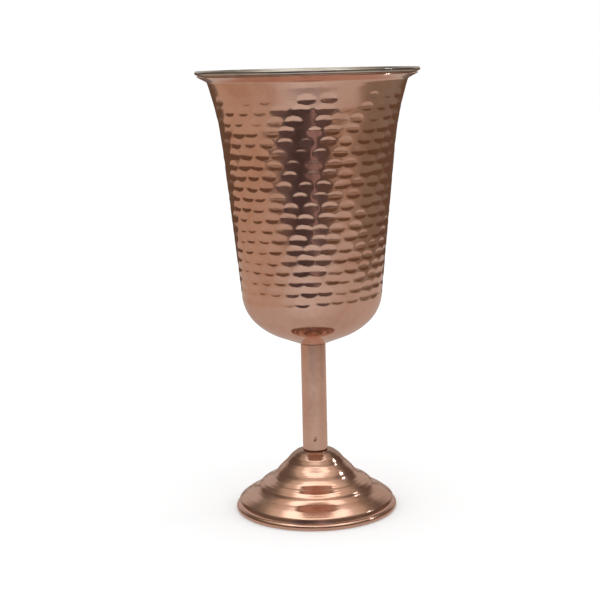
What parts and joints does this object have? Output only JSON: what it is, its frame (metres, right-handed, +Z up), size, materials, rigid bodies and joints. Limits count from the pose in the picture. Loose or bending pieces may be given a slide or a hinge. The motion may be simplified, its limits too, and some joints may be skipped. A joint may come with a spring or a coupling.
{
  "type": "stemmed goblet",
  "caption": "Stemmed drinking goblet: tall hammered copper bowl with a flared steel lip and inner cup, straight tube stem and ringed spun foot.",
  "frame": {"origin": "centre of the foot's resting plane, on the axis of the goblet", "axes": "+Z up along the stem and bowl axis; the punch mark on the stem faces -Y"},
  "size_m": [0.0826, 0.0826, 0.1668],
  "materials": {
    "hammered_copper": "hammered copper, hand-polished, lightly toned",
    "polished_steel": "polished stainless steel with fine spinning lines",
    "drawn_copper": "drawn copper tube, satin, lightly toned",
    "spun_copper": "spun and polished copper, lightly toned",
    "turned_brass": "as turned",
    "zinc_steel": "zinc-plated fastener steel"
  },
  "bodies": {
    "root": {"bowl_shell": "hammered_copper", "inner_cup": "polished_steel", "stem_tube": "drawn_copper", "lower_bush": "turned_brass", "upper_bush": "turned_brass", "tie_bolt": "zinc_steel", "foot_washer": "zinc_steel", "foot_nut": "zinc_steel", "foot": "spun_copper"}
  },
  "joints": []
}
